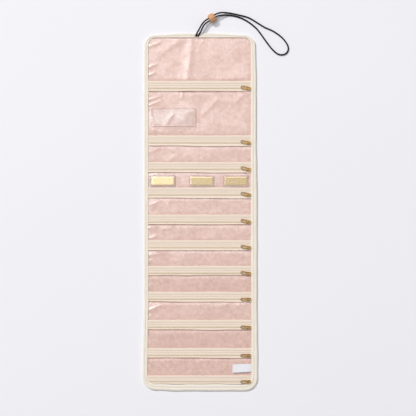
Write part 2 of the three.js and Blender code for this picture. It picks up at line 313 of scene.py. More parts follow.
def woven(tree, shader, light, dark, pitch, twill=None, sheen=0.15, mottle=0.0):
    """Cloth: crossing threads, or slanting twill lines, with soft changes of tone."""
    place = cloth_map(tree)
    if twill is None:
        across = ribs(tree, place, pitch, "X")
        threads = combine(tree, "MULTIPLY", across, ribs(tree, place, pitch, "Y"))
    else:
        threads = ribs(tree, place, pitch, "X", twill)
    tone = combine(tree, "MULTIPLY", patches(tree, place, TONE_SCALE), 0.6)
    slub = combine(tree, "MULTIPLY", patches(tree, place, SLUB_SCALE, 2.0), 0.3)
    weave = combine(tree, "MULTIPLY_ADD", threads, 0.3, tone)
    if mottle:
        cloudy = combine(tree, "SUBTRACT", patches(tree, place, MOTTLE_SCALE, 4.0), 0.5)
        weave = combine(tree, "MULTIPLY_ADD", cloudy, mottle, weave)
    colour = tones(tree, combine(tree, "ADD", weave, slub, clamp=True), dark, light)
    looks = {"Base Color": colour, "Roughness": 0.9, "Sheen Weight": sheen, "Specular IOR Level": 0.2}
    set_inputs(tree, shader, looks)
    bump(tree, shader, combine(tree, "ADD", threads, slub), 0.5, 0.15)


def metal(tree, shader, light, dark, roughness, brushed=False):
    """Gold with fine brushing or small tarnished patches."""
    place = object_map(tree)
    if brushed:
        lines = patches(tree, stretched(tree, place, BRUSHING), 1.0, 2.0)
    else:
        lines = patches(tree, place, TARNISH_SCALE, 4.0)
    colour = mix_colours(tree, lines, dark, light)
    spread = combine(tree, "MULTIPLY_ADD", lines, 0.12, roughness)
    set_inputs(tree, shader, {"Base Color": colour, "Metallic": 1.0, "Roughness": spread})
    bump(tree, shader, lines, 0.15, 0.05)


def clear_vinyl(tree, shader, shine, haze, tint):
    """Thin clear film: what lies behind it shows through, under a gloss and a patchy milky haze."""
    facing = add_node(tree, "LayerWeight", {"Blend": 0.5}, "Facing")
    gloss = combine(tree, "MULTIPLY_ADD", combine(tree, "POWER", facing, 5.0), 0.95, shine)
    clouds = patches(tree, cloth_map(tree), HAZE_SCALE, 5.0)
    clouds = combine(tree, "MULTIPLY_ADD", clouds, 2.6, -0.8, clamp=True)
    cover = combine(tree, "MULTIPLY_ADD", clouds, haze, gloss, clamp=True)
    through = add_node(tree, "BsdfTransparent", {0: tint})
    set_inputs(tree, shader, {
        "Base Color": (0.97, 0.95, 0.95, 1),
        "Metallic": 1.0,
        "Roughness": 0.32,
        "Coat Weight": 1.0,
        "Coat IOR": 4.0,
        "Coat Roughness": 0.2,
    })
    film = mix_shaders(tree, cover, through, shader.outputs[0])
    set_inputs(tree, tree.nodes["Material Output"], {"Surface": film})


def tinted_edge(tree, shader):
    """Thick welded edge of clear film, half see-through and darker than the sheet, clear inside."""
    tone = patches(tree, cloth_map(tree), WELD_SCALE)
    colour = tones(tree, tone, (186, 132, 112), (206, 158, 138))
    inside = add_node(tree, "NewGeometry", output="Backfacing")
    alpha = combine(tree, "MULTIPLY_ADD", inside, -0.5, 0.5)
    set_inputs(tree, shader, {"Base Color": colour, "Roughness": 0.25, "Alpha": alpha})


def nylon(tree, shader, light, dark):
    colour = tones(tree, patches(tree, cloth_map(tree), NYLON_SCALE), dark, light)
    set_inputs(tree, shader, {"Base Color": colour, "Roughness": 0.45})


def thread(tree, shader, light, dark):
    ply = ribs(tree, cloth_map(tree), 0.5, "X", 35)
    colour = tones(tree, ply, dark, light)
    set_inputs(tree, shader, {"Base Color": colour, "Roughness": 0.7, "Sheen Weight": 0.2})
    bump(tree, shader, ply, 0.4, 0.08)


def turned_wood(tree, shader):
    """Pale wood with grain along the bead and darker rings."""
    place = cloth_map(tree)
    grain = patches(tree, stretched(tree, place, WOOD_GRAIN), 1.0, 5.0)
    detail = {"Distortion": 5.0, "Detail": 2.0, "Detail Scale": 2.0}
    rings = waves(tree, place, WOOD_RINGS_SCALE, "X", **detail)
    grained = combine(tree, "MULTIPLY", grain, 0.65)
    share = combine(tree, "MULTIPLY_ADD", rings, 0.35, grained, clamp=True)
    colour = tones(tree, share, (178, 118, 72), (226, 176, 126))
    set_inputs(tree, shader, {"Base Color": colour, "Roughness": 0.5})
    bump(tree, shader, grain, 0.25, 0.2)


def braided_elastic(tree, shader):
    """Black elastic: fine ribs that cross on a round cord."""
    place = add_node(tree, "TexCoord", output="UV")
    place = stretched(tree, place, (CORD_LENGTH / BRAID_LENGTH, BRAID_STRANDS, 1))
    left = waves(tree, place, BRAID_SCALE, "DIAGONAL")
    right = waves(tree, stretched(tree, place, (1, -1, 1)), BRAID_SCALE, "DIAGONAL")
    braid = combine(tree, "MAXIMUM", left, right)
    colour = tones(tree, braid, (3, 3, 4), (18, 18, 20))
    set_inputs(tree, shader, {"Base Color": colour, "Roughness": 0.7, "Specular IOR Level": 0.12})
    bump(tree, shader, braid, 0.5, 0.2)


def seen_rays(tree):
    """1 for rays that show the backdrop directly, in a reflection or through film, else 0."""
    path = tree.nodes.new("ShaderNodeLightPath").outputs
    seen = combine(tree, "MAXIMUM", path["Is Camera Ray"], path["Is Glossy Ray"])
    return combine(tree, "MAXIMUM", seen, path["Is Transmission Ray"])


def pale_floor(tree, shader):
    """Takes the object's shadow, and far from it shows the backdrop's own tone."""
    place = object_map(tree)
    colour = tones(tree, patches(tree, place, FLOOR_SCALE, 2.0), (243, 242, 247), (245, 244, 249))
    set_inputs(tree, shader, {"Base Color": colour, "Roughness": 0.8, "Specular IOR Level": 0.1})
    away = add_node(tree, "VectorMath", {0: place}, "Value", operation="LENGTH")
    limits = {"Value": away, "From Min": FLOOR_FADE[0], "From Max": FLOOR_FADE[1]}
    far = add_node(tree, "MapRange", limits, "Result", interpolation_type="SMOOTHSTEP")
    far = combine(tree, "MULTIPLY", far, seen_rays(tree))
    pale = add_node(tree, "Emission", {"Color": PALE_TINT, "Strength": BACKDROP_STRENGTH})
    faded = mix_shaders(tree, far, shader.outputs[0], pale)
    set_inputs(tree, tree.nodes["Material Output"], {"Surface": faded})


def new_material(name, build, *values, **more):
    material = bpy.data.materials.new(name)
    material.use_nodes = True
    tree = material.node_tree
    build(tree, tree.nodes["Principled BSDF"], *values, **more)
    return material


lining = new_material("blush_lining", woven, (243, 212, 200), (218, 183, 171), 0.7, mottle=1.8)
canvas = new_material("cream_canvas", woven, (240, 231, 216), (228, 216, 198), 0.9)
twill = new_material("cream_twill", woven, (247, 240, 228), (237, 228, 213), 0.8, 55)
tape_cloth = new_material("zip_tape_weave", woven, (247, 231, 215), (236, 217, 199), 0.55, 90)
label_cloth = new_material("label_satin", woven, (247, 247, 251), (238, 238, 244), 0.4, sheen=0.2)
cream_thread = new_material("cream_thread", thread, (232, 218, 196), (210, 193, 168))
blush_thread = new_material("blush_thread", thread, (232, 204, 192), (214, 184, 172))
coil_nylon = new_material("coil_nylon", nylon, (222, 206, 180), (202, 184, 155))
vinyl = new_material("clear_vinyl", clear_vinyl, 0.038, 0.03, (0.985, 0.975, 0.972, 1))
# A copy of the window film with less gloss and a darker tint, used for pockets 8, 10 and 11: the darker
# tint is painted shade that darkens the lower pockets.
painted_shade_vinyl = new_material("painted_shade_vinyl", clear_vinyl, 0.024, 0.014, (0.977, 0.966, 0.964, 1))
sleeve_vinyl = new_material("sleeve_vinyl", clear_vinyl, 0.024, 0.03, (0.998, 0.995, 0.995, 1))
welded_edge = new_material("welded_vinyl", tinted_edge)
slider_gold = new_material("slider_gold", metal, (0.58, 0.38, 0.17, 1), (0.14, 0.075, 0.025, 1), 0.3)
# The pull's gold is a darker copy of the slider's gold, which is the same metal: painted shade on the
# pulls.
pull_gold_painted_shade = new_material("pull_gold_painted_shade", metal, (0.34, 0.195, 0.045, 1), (0.13, 0.065, 0.012, 1), 0.3)
brushed_gold = new_material("brushed_gold", metal, (0.72, 0.55, 0.22, 1), (0.69, 0.52, 0.2, 1), 0.18, True)
wood = new_material("bead_wood", turned_wood)
elastic = new_material("black_elastic", braided_elastic)


# Meshes
class Form:
    """The points, faces, cloth maps and finishes of one piece, in millimetres."""

    def __init__(self):
        self.points = []
        self.faces = []
        self.maps = []
        self.finishes = []
        self.count = 0

    def add(self, points, faces, maps, finish=0):
        finish = np.broadcast_to(finish, len(faces))
        self.points.append(np.asarray(points, float))
        self.maps.append(np.asarray(maps, float))
        self.faces.extend([tuple(int(corner) + self.count for corner in face) for face in faces])
        self.finishes.extend(finish.tolist())
        self.count += len(points)

    def piece(self, name, materials, sharp=40):
        mesh = bpy.data.meshes.new(name)
        mesh.from_pydata((np.concatenate(self.points) * MM).tolist(), [], self.faces)
        corners = np.zeros(len(mesh.loops), np.int32)
        mesh.loops.foreach_get("vertex_index", corners)
        maps = (np.concatenate(self.maps) * MM)[corners]
        mesh.uv_layers.new(name="cloth").data.foreach_set("uv", maps.astype(np.float32).ravel())
        for material in materials:
            mesh.materials.append(material)
        mesh.polygons.foreach_set("material_index", np.array(self.finishes, np.int32))
        mesh.polygons.foreach_set("use_smooth", np.ones(len(mesh.polygons), bool))
        work = bmesh.new()
        work.from_mesh(mesh)
        bmesh.ops.recalc_face_normals(work, faces=work.faces)
        work.to_mesh(mesh)
        work.free()
        mesh.set_sharp_from_angle(angle=math.radians(sharp))
        return add_object(name, mesh)


def grid_faces(rows, columns, start=0, flip=False):
    index = np.arange(rows * columns).reshape(rows, columns) + start
    quads = np.stack([index[:-1, :-1], index[:-1, 1:], index[1:, 1:], index[1:, :-1]], -1).reshape(-1, 4)
    return quads[:, ::-1] if flip else quads


def add_slab(form, x, y, top, bottom, finishes=(0, 0)):
    """A closed sheet or pad between two height fields on the same grid."""
    rows, columns = x.shape
    points = np.concatenate([stacked(x, y, z).reshape(-1, 3) for z in (top, bottom)])
    size = rows * columns
    rim = np.concatenate([
        np.arange(columns),
        np.arange(2, rows) * columns - 1,
        np.arange(size - 1, size - columns - 1, -1),
        np.arange(rows - 2, 0, -1) * columns,
    ])
    following = np.roll(rim, -1)
    side = np.stack([rim + size, following + size, following, rim], -1)
    upper = grid_faces(rows, columns)
    lower = grid_faces(rows, columns, size, flip=True)
    finish = np.repeat(finishes, [len(upper), len(lower) + len(side)])
    form.add(points, np.concatenate([upper, lower, side]), points[:, :2], finish)


def add_sweep(form, rings, maps, finish=0, closed=False):
    """A bar of rings of points: both ends get a face, or the last ring joins the first."""
    index = np.arange(rings.shape[0] * rings.shape[1]).reshape(rings.shape[:2])
    ahead = np.roll(index, -1, axis=0)
    beside = np.roll(index, -1, axis=1)
    corner = np.roll(ahead, -1, axis=1)
    quads = np.stack([index, ahead, corner, beside], -1)
    if closed:
        faces = quads.reshape(-1, 4)
    else:
        faces = [*quads[:-1].reshape(-1, 4), index[0], index[-1][::-1]]
    form.add(rings.reshape(-1, 3), faces, maps.reshape(-1, 2), finish)


def full_turn(sides):
    return np.linspace(0, 2 * math.pi, sides, endpoint=False)


def add_stitches(form, centres, along, up, finish):
    """Short, plump stitches that lie along a seam."""
    length, width, height = STITCH_SIZE
    turns = full_turn(STITCH_SIDES)
    shares, swells = STITCH_RINGS.T
    maps = stacked(shares[:, None] * length, turns / (2 * math.pi) * width * 3)
    along, up = (np.broadcast_to(way, centres.shape) for way in (along, up))
    for centre, forward, side, rise in zip(centres, along, np.cross(up, along), up):
        out = side * np.cos(turns)[:, None] * width / 2 + rise * np.sin(turns)[:, None] * height / 2
        rings = centre + forward * shares[:, None, None] * length + out * swells[:, None, None]
        add_sweep(form, rings, maps, finish)


def stations(low, high, step):
    return np.linspace(low, high, max(2, int(math.ceil((high - low) / step)) + 1))


def strip_grid(rows, columns, inset):
    """A grid across the strip at the given rows, out to a line that runs inset from its edge."""
    x = np.linspace(-1, 1, columns) * half_width_at(rows[:, None], inset)
    return x, np.broadcast_to(rows[:, None], x.shape)


# Tie cord: both ends are sewn under the top binding, and the two strands pass through the bead
bead_forward = np.array([math.cos(BEAD_ANGLE), math.sin(BEAD_ANGLE), 0])
bead_side = np.array([-math.sin(BEAD_ANGLE), math.cos(BEAD_ANGLE), 0])


def strand_points(side):
    """Where one of the two strands passes through the bead."""
    middle = np.array(BEAD_PLACE) + bead_side * side * STRAND_SPACING / 2
    return [list(middle + bead_forward * along) for along in STRAND_STATIONS]


def cord_route():
    going = OUTER_ANCHOR + OUTER_RISE + strand_points(1) + LOOP_FALL
    lying = [[x, y, CORD_ON_TABLE] for x, y in LOOP]
    coming = LOOP_RISE + strand_points(-1)[::-1] + INNER_FALL + INNER_ANCHOR
    return np.array(going + lying + coming, float) + (0, top_edge, 0)


def add_cord():
    points = cord_route()
    padded = np.concatenate([[2 * points[0] - points[1]], points, [2 * points[-1] - points[-2]]])
    gaps = np.sqrt(np.linalg.norm(np.diff(padded, axis=0), axis=1))
    data = bpy.data.curves.new("tie_cord_elastic", "CURVE")
    data.dimensions = "3D"
    data.bevel_depth = CORD_DIAMETER / 2 * MM
    data.bevel_resolution = 4
    data.resolution_u = 10
    data.use_fill_caps = True
    spline = data.splines.new("BEZIER")
    spline.bezier_points.add(len(points) - 1)
    for index, knot in enumerate(spline.bezier_points):
        before, here, after = padded[index:index + 3]
        gap_before, gap_after = gaps[index:index + 2]
        slope = (here - before) / gap_before - (after - before) / (gap_before + gap_after)
        slope = slope + (after - here) / gap_after
        knot.handle_left_type = "FREE"
        knot.handle_right_type = "FREE"
        knot.co = here * MM
        knot.handle_left = (here - slope * gap_before / 3) * MM
        knot.handle_right = (here + slope * gap_after / 3) * MM
    data.materials.append(elastic)
    cord = add_object("tie_cord_elastic", data)
    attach(cord, "pocket_01")
    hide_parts("tie_cord")
    return cord, points[0] * MM


def add_bead():
    """A turned barrel with a bore for both strands and softly rounded ends."""
    half = BEAD_LENGTH / 2
    bore = [(BEAD_BORE / 2 + wider, half - back) for wider, back in BORE_ROUNDING]
    profile = [(radius, -along) for radius, along in bore] + bore[::-1]
    for share in np.linspace(1, -1, 17):
        swell = BEAD_END_DIAMETER + (BEAD_DIAMETER - BEAD_END_DIAMETER) * (1 - share * share)
        worn = max(0.0, abs(share) - BEAD_LIP_START) / (1 - BEAD_LIP_START)
        profile.append((swell / 2 - BEAD_LIP * worn * worn, share * half))
    radius, along = np.array(profile).T[:, None, :, None]
    turns = full_turn(BEAD_SIDES)[:, None, None]
    outward = np.cos(turns) * bead_side + np.sin(turns) * np.array(UP)
    centre = np.array(BEAD_PLACE) + (0, top_edge, 0)
    points = centre + outward * radius + bead_forward * along
    form = Form()
    add_sweep(form, points, stacked(turns[..., 0] * BEAD_DIAMETER / 2, along[..., 0]), closed=True)
    bead = form.piece("tie_bead", [wood], sharp=60)
    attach(bead, "bead")
    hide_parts("cord_bead")
    return bead


cord, cord_exit = add_cord()
bead = add_bead()

# Padded strip, cut in the middle of each pocket so that every piece bends at one seam only
PAD_STEP = 2.0
PAD_FINE_STEP = 1.0
PAD_COLUMNS = 106
PAD_END_GAP = 0.2
LINING_CREASES = 110
LINING_WAVES = [(0.3, 32, 11, 7), (0.34, 13, 13, 9)]
LINING_DIP = 0.65
LINING_FOLD_LIMIT = 0.75
UNDER_SLEEVE = 0.15
COVER_WAVE = 0.07
COVER_STITCH_HEIGHT = 0.62
PINCH_WIDTH = 2.2


def strip_ends(index):
    high = inner_half_length if index == 0 else middles[index - 1]
    low = -inner_half_length if index == pocket_count else middles[index]
    return low, high


def strip_stations(low, high, seam):
    """Stations from low to high, close together where the strip bends at a seam."""
    if seam is None:
        return stations(low, high, PAD_STEP)
    reach = HINGE_REACH + 1
    parts = [
        stations(low, seam - reach, PAD_STEP)[:-1],
        stations(seam - reach, seam + reach, PAD_FINE_STEP)[:-1],
        stations(seam + reach, high, PAD_STEP),
    ]
    return np.concatenate(parts)


def attach_strip(piece, index):
    """Rides on the first or last pocket; a piece that spans the seam between two pockets gets its transform
    baked into its mesh.
    """
    if index in (0, pocket_count):
        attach(piece, numbered("pocket", max(index, 1)))
    else:
        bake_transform(piece)


def seam_distance(y):
    return np.min(np.abs(y[..., None] - np.array(seams[1:-1])), axis=-1)


def crease(x, y, start, end, width, height):
    """A ridge from start to end that fades out at its end."""
    run_x = end[0] - start[0]
    run_y = end[1] - start[1]
    share = np.clip(((x - start[0]) * run_x + (y - start[1]) * run_y) / (run_x**2 + run_y**2), 0, 1)
    away = np.hypot(x - start[0] - share * run_x, y - start[1] - share * run_y)
    return height * (1 - share**3) / (1 + (away / width) ** 2)


def lining_creases(x, y):
    """Soft creases in the lining, slanting and upright, spread over the whole strip."""
    random = np.random.default_rng(5)
    height = np.zeros_like(x)
    for _ in range(LINING_CREASES):
        start = (random.uniform(-105, 105), random.uniform(-350, 350))
        turn = random.uniform(math.radians(20), math.radians(140))
        reach = random.uniform(15, 60)
        end = (start[0] + math.cos(turn) * reach, start[1] + math.sin(turn) * reach)
        lift = random.uniform(0.25, 0.65)
        height = np.maximum(height, crease(x, y, start, end, random.uniform(2, 5), lift))
    return height


def add_pad(index):
    """Lining above, wadding between and canvas cover below, drawn together at the seams."""
    low, high = strip_ends(index)
    seam = None if index in (0, pocket_count) else seams[index]
    rows = strip_stations(low, high, seam)
    rows[0] += PAD_END_GAP if index == pocket_count else 0
    rows[-1] -= PAD_END_GAP if index == 0 else 0
    x, y = strip_grid(rows, PAD_COLUMNS, PAD_INSET)
    pinch = bell(seam_distance(y), PINCH_WIDTH)
    folds = lining_creases(x, y)
    for height, length, seed, count in LINING_WAVES:
        folds = folds + height * ripples(x, y, length, seed, count)
    folds = LINING_FOLD_LIMIT * np.tanh(folds / LINING_FOLD_LIMIT)
    top = PAD_TOP - LINING_DIP + folds - 0.4 * pinch
    for centre in PLATE_CENTRES:
        under = ramp(-3, 1.5, inside_box(x, y, centre, PLATE_SLEEVE["size"]))
        top = top + (PAD_TOP + UNDER_SLEEVE - top) * under
    bottom = 0.12 + COVER_WAVE * (1 + ripples(x, y, 42, 12)) + 0.5 * pinch
    form = Form()
    add_slab(form, x, y, top, bottom, finishes=(0, 1))
    if seam is not None:
        places = np.arange(-103, 103.1, STITCH_PITCH)
        add_stitches(form, stacked(places, seam, COVER_STITCH_HEIGHT), ACROSS, DOWN, 2)
    pad = form.piece(numbered("pad", index), [lining, canvas, cream_thread])
    attach_strip(pad, index)
    if index != pocket_count - 1:
        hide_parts(numbered("panel", min(index + 1, pocket_count)))


for index in range(pocket_count + 1):
    add_pad(index)

# Binding: a cream strip folded over the edge all round and sewn through the middle
EDGE_RADIUS = 26.0
SIDE_LENGTH = STRIP_LENGTH - 2 * EDGE_RADIUS
END_LENGTH = STRIP_WIDTH - 2 * EDGE_RADIUS
ARC_LENGTH = math.pi / 2 * EDGE_RADIUS
PERIMETER = 2 * (SIDE_LENGTH + END_LENGTH) + 4 * ARC_LENGTH
BINDING_PROFILE = np.array([
    (9.5, 2.2), (9.65, 3.0), (9.5, 3.6), (9.1, 4.0), (8.3, 4.35), (7.0, 4.5), (5.9, 4.35), (5.4, 4.0),
    (5.0, 3.65), (4.6, 4.0), (4.1, 4.4), (3.2, 4.5), (2.2, 4.4), (1.3, 4.05), (0.5, 3.4), (0.1, 2.7),
    (0.0, 2.2), (0.1, 1.5), (0.5, 0.8), (1.3, 0.3), (2.6, 0.08), (4.2, 0.1), (5.0, 0.4), (5.8, 0.1),
    (7.6, 0.08), (8.8, 0.2), (9.45, 0.6), (9.5, 1.3),
])
BINDING_MIDDLE = 2.0
BINDING_LIMIT = 5.2
BINDING_STITCH_LINE = 5.0
BINDING_STITCH_ROWS = [(3.8, 1.0), (0.32, -1.0)]
STITCH_MARGIN = 1.2
EDGE_WAVER = 0.35
EDGE_LIFT = 0.06
STITCH_PUCKER = 0.07
FOOT_RUFFLE = 1.3

stitch_count = round(PERIMETER / STITCH_PITCH)
stitch_step = PERIMETER / stitch_count


def edge_frame(distance):
    """Points on the strip's edge, clockwise from the foot of its left side, and the way inwards."""
    distance = np.asarray(distance, float) % PERIMETER
    starts = np.cumsum([0] + [SIDE_LENGTH, ARC_LENGTH, END_LENGTH, ARC_LENGTH] * 2)
    half_x = STRIP_WIDTH / 2 - EDGE_RADIUS
    half_y = STRIP_LENGTH / 2 - EDGE_RADIUS
    corners = np.array([(-half_x, half_y), (half_x, half_y), (half_x, -half_y), (-half_x, -half_y)])
    points = np.zeros((len(distance), 2))
    inward = np.zeros((len(distance), 2))
    for section in range(8):
        quarter, on_arc = divmod(section, 2)
        here = (distance >= starts[section]) & (distance < starts[section + 1])
        past = distance[here] - starts[section]
        turn = math.pi - quarter * math.pi / 2 - on_arc * past / EDGE_RADIUS
        out = stacked(np.cos(turn), np.sin(turn))
        forward = stacked(out[:, 1], -out[:, 0])
        straight = (1 - on_arc) * past[:, None] * forward
        points[here] = corners[quarter - 1 + on_arc] + EDGE_RADIUS * out + straight
        inward[here] = -out
    return points, inward


def edge_waves(distance, seed, longest, count=6):
    """Soft waves from -1 to 1 that close on themselves round the whole edge."""
    random = np.random.default_rng(seed)
    total = np.zeros_like(distance)
    for _ in range(count):
        turns = round(PERIMETER / (longest * random.uniform(0.35, 1)))
        total += np.sin(2 * math.pi * turns * distance / PERIMETER + random.uniform(0, 2 * math.pi))
    return total / count * 1.5


def edge_sides(inward):
    """How much each point of the edge belongs to the left, right, foot and head, from 0 to 1."""
    x, y = inward.T
    return [np.clip(way, 0, 1) ** 2 for way in (x, -x, y, -y)]


def edge_shift(points, inward):
    """How far the binding's outer line lies inside the even outline, negative where it lies outside."""
    x, y = points.T
    left, right, foot, head = edge_sides(inward)
    near_foot = ramp(-180, -310, y)
    near_head = ramp(270, 330, y)
    below_middle = ramp(150, 20, y)
    shift = left * (2.2 - 3.0 * near_foot + 0.8 * near_head)
    shift += right * (1.6 * near_head - 0.6 - 1.7 * below_middle - 1.2 * near_foot)
    shift += head * (2.0 + 3.2 * ramp(40, 85, np.abs(x)) + 6.0 * right) - 6.0 * foot * right
    return shift - foot * (2.4 + 1.4 * ramp(-90, -40, x))


def inner_cover(points, inward):
    """How far the binding's inner line reaches past its even place."""
    y = points[:, 1]
    left, right, _, head = edge_sides(inward)
    return left * (2.2 - 1.9 * ramp(-180, -310, y)) + right * ramp(-200, 0, y) + 1.2 * head


def outer_depth(points, inward, depth):
    """Depths from the even outline, for depths in the binding's profile."""
    shift = edge_shift(points, inward)[:, None]
    cover = inner_cover(points, inward)[:, None]
    return shift + depth * (1 + (cover - shift) / BINDING_WIDTH)


def left_distance(y):
    return y + SIDE_LENGTH / 2


def right_distance(y):
    return SIDE_LENGTH + END_LENGTH + 2 * ARC_LENGTH + SIDE_LENGTH / 2 - y


def foot_distance(x):
    return PERIMETER - ARC_LENGTH - END_LENGTH / 2 - x


def foot_ruffle(distance):
    """How far the binding's inner line at the foot waves in and out."""
    return FOOT_RUFFLE * edge_waves(distance, 23, 130)


def binding_runs(index):
    """The stretches of edge, from and to, that belong to one piece of the strip."""
    low, high = strip_ends(index)
    if index == 0:
        return [(left_distance(low), right_distance(low))]
    if index == pocket_count:
        return [(right_distance(high), PERIMETER + left_distance(high))]
    return [(left_distance(low), left_distance(high)), (right_distance(high), right_distance(low))]


def pressed(x, y):
    """How far the binding is pressed down, from 0 to 1, where the cord's two ends are sewn on it."""
    outer, inner = OUTER_ANCHOR[0][0], INNER_ANCHOR[-1][0]
    beside = np.abs(x - (outer + inner) / 2) - (inner - outer) / 2
    return ramp(3.2, 1.4, beside) * ramp(3.5, 7.5, top_edge - y) * (y > 0)


def binding_points(distance):
    points, inward = edge_frame(distance)
    waver = EDGE_WAVER * edge_waves(distance, 21, 90)[:, None]
    lift = 1 + EDGE_LIFT * edge_waves(distance, 22, 60)[:, None]
    pucker = STITCH_PUCKER * np.cos(2 * math.pi * distance / stitch_step)[:, None]
    ruffle = (edge_sides(inward)[2] * foot_ruffle(distance))[:, None]
    depth, height = BINDING_PROFILE.T[:, None, :]
    plump = np.clip(np.abs(depth - BINDING_STITCH_LINE) / 3, 0, 1)
    depth = outer_depth(points, inward, depth)
    depth = depth + waver * np.clip(1 - depth / BINDING_WIDTH, 0.25, 1)
    depth = depth + ruffle * ramp(6.5, 9, depth)
    height = np.minimum(height * np.where(height > BINDING_MIDDLE, lift, 1), BINDING_LIMIT)
    height = height - np.where(height > BINDING_MIDDLE, pucker * (1 - plump), 0)
    x, y = np.moveaxis(points[:, None] + inward[:, None] * depth[..., None], -1, 0)
    sunk = pressed(x, y) * (height - BINDING_MIDDLE)
    height = np.where(height > BINDING_MIDDLE, height - sunk, height)
    return stacked(x, y, np.maximum(height, 0.05))


def add_binding(index):
    form = Form()
    for start, finish in binding_runs(index):
        distance = stations(start, finish, stitch_step / 2)
        add_sweep(form, binding_points(distance), stacked(distance[:, None], run_along(BINDING_PROFILE)))
        first = math.ceil(start / stitch_step - 0.5)
        last = math.floor(finish / stitch_step - 0.5)
        places = (np.arange(first, last + 1) + 0.5) * stitch_step
        places = places[(places > start + STITCH_MARGIN) & (places < finish - STITCH_MARGIN)]
        points, inward = edge_frame(places)
        forward = stacked(-inward[:, 1], inward[:, 0], 0)
        x, y = (points + inward * outer_depth(points, inward, BINDING_STITCH_LINE)).T
        for height, rise in BINDING_STITCH_ROWS:
            add_stitches(form, stacked(x, y, height), forward, (0, 0, rise), 1)
    binding = form.piece(numbered("binding", index), [twill, cream_thread], sharp=70)
    attach_strip(binding, index)


for index in range(pocket_count + 1):
    add_binding(index)

# Gold plates, each in a clear sleeve of its own
PLATE_TOP = 3.3
PLATE_THICKNESS = 0.8
PLATE_CORNER = 1.5
PLATE_STEP = 0.75
PLATE_ROUNDING = 0.22
PLATE_TILTS = [math.radians(1.0), math.radians(-2.1), math.radians(-3.1)]
SLEEVE_FLOOR = 2.5
SLEEVE_CORNER = 2.0
WELD_HEIGHT = 0.3
RIM_INSET = 0.2
RIM_LIFT = 0.2
RIM_THICKNESS = 0.5
RIM_STEP = 0.8


def plate_top(side, y):
    slope = math.tan(PLATE_TILTS[side])
    return PLATE_TOP + abs(slope) * PLATE_SIZE[1] / 2 + slope * (PLATE_CENTRES[side][1] - y)


def sleeve_top(side, x, y):
    inside = inside_box(x, y, PLATE_CENTRES[side], PLATE_SIZE)
    return SLEEVE_FLOOR + (plate_top(side, y) + 0.15 - SLEEVE_FLOOR) * ramp(-2.2, 0.6, inside)


def rounded_grid(centre, size, radius, step):
    """A grid that fills a rectangle with rounded corners."""
    rows = stations(-size[1] / 2, size[1] / 2, step)[:, None]
    shares = np.linspace(-1, 1, int(size[0] / step) + 1)
    x = centre[0] + shares * half_across(rows, size, radius)
    return x, np.broadcast_to(centre[1] + rows, x.shape)


def add_rim(form, centre, size, radius, height, width, finish):
    """A welded edge that follows a rounded rectangle, on a given height."""
    quarter_turn = np.linspace(0, math.pi / 2, 6)
    turns = np.concatenate([quarter * math.pi / 2 + quarter_turn for quarter in range(4)])
    signs = np.repeat([(1, 1), (-1, 1), (-1, -1), (1, -1)], len(quarter_turn), axis=0)
    half = np.array(size) / 2 - radius
    outline = np.array(centre) + signs * half + radius * stacked(np.cos(turns), np.sin(turns))
    closed = np.concatenate([outline, outline[:1]])
    run = run_along(closed)
    places = np.arange(0, run[-1] - RIM_STEP / 2, RIM_STEP)
    flat = stacked(*[np.interp(places, run, values) for values in closed.T])
    forward = np.roll(flat, -1, axis=0) - np.roll(flat, 1, axis=0)
    forward = forward / np.linalg.norm(forward, axis=1)[:, None]
    across = stacked(forward[:, 1], -forward[:, 0], 0)
    middle = stacked(*flat.T, height(*flat.T))
    around = full_turn(8)
    rings = middle[:, None] + across[:, None] * (np.cos(around) * width / 2)[None, :, None]
    rings[..., 2] += np.sin(around)[None, :] * RIM_THICKNESS / 2
    add_sweep(form, rings, stacked(places[:, None], around * width / 2), finish, closed=True)


def add_plate(side):
    x, y = rounded_grid(PLATE_CENTRES[side], PLATE_SIZE, PLATE_CORNER, PLATE_STEP)
    top = plate_top(side, y)
    inside = inside_box(x, y, PLATE_CENTRES[side], PLATE_SIZE)
    rounding = PLATE_ROUNDING * (1 - ramp(0, 0.9, inside)) ** 2
    form = Form()
    add_slab(form, x, y, top - rounding, top - PLATE_THICKNESS + rounding)
    name = PLATE_SIDES[side]
    plate = form.piece(f"plate_{name}", [brushed_gold], sharp=50)
    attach(plate, numbered("pocket", PLATE_POCKET))
    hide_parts(f"gold_plate_{name}")


def add_sleeve(name, pocket, under, base, centre, size, step, gap, bow, sheet, weld, rim):
    """A clear sleeve over the height that base gives, with a weld inside its edge and a thick rim."""
    x, y = rounded_grid(centre, size, SLEEVE_CORNER, step)
    inside = inside_box(x, y, centre, size)
    bottom = base(x, y) + gap + bow * ramp(0, 8, inside)
    welded = WELD_HEIGHT * bell(inside - weld[0], weld[1])
    form = Form()
    add_slab(form, x, y, bottom + sheet + welded, bottom)
    edge_size = (size[0] - 2 * RIM_INSET, size[1] - 2 * RIM_INSET)
    add_rim(form, centre, edge_size, SLEEVE_CORNER, lambda x, y: base(x, y) + RIM_LIFT, rim, 1)
    sleeve = form.piece(name, [sleeve_vinyl, welded_edge])
    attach(sleeve, numbered("pocket", pocket))


for side, name in enumerate(PLATE_SIDES):
    add_plate(side)
    add_sleeve(
        f"plate_sleeve_{name}",
        PLATE_POCKET,
        f"plate_{name}",
        lambda x, y: sleeve_top(side, x, y),
        PLATE_CENTRES[side],
        **PLATE_SLEEVE,
    )

# Clear windows: film sewn down at its edges, with creases that run in from them
WINDOW_EDGE_HEIGHT = 2.75
WINDOW_BULGE = 1.25
LOW_WINDOW_BULGE = 0.75
TALL_WINDOWS = (1, 2)
WINDOW_TUCK = 2.0
LAST_WINDOW_TUCK = 4.6
WINDOW_GAP = 0.3
WINDOW_LIMIT = 7.6
WINDOW_WAVE = 0.45
OVER_SLEEVE = 0.75
# Pockets whose film is the darker-tinted, less glossy copy: painted shade on the lower pockets
PAINTED_SHADE_WINDOWS = (8, 10, 11)

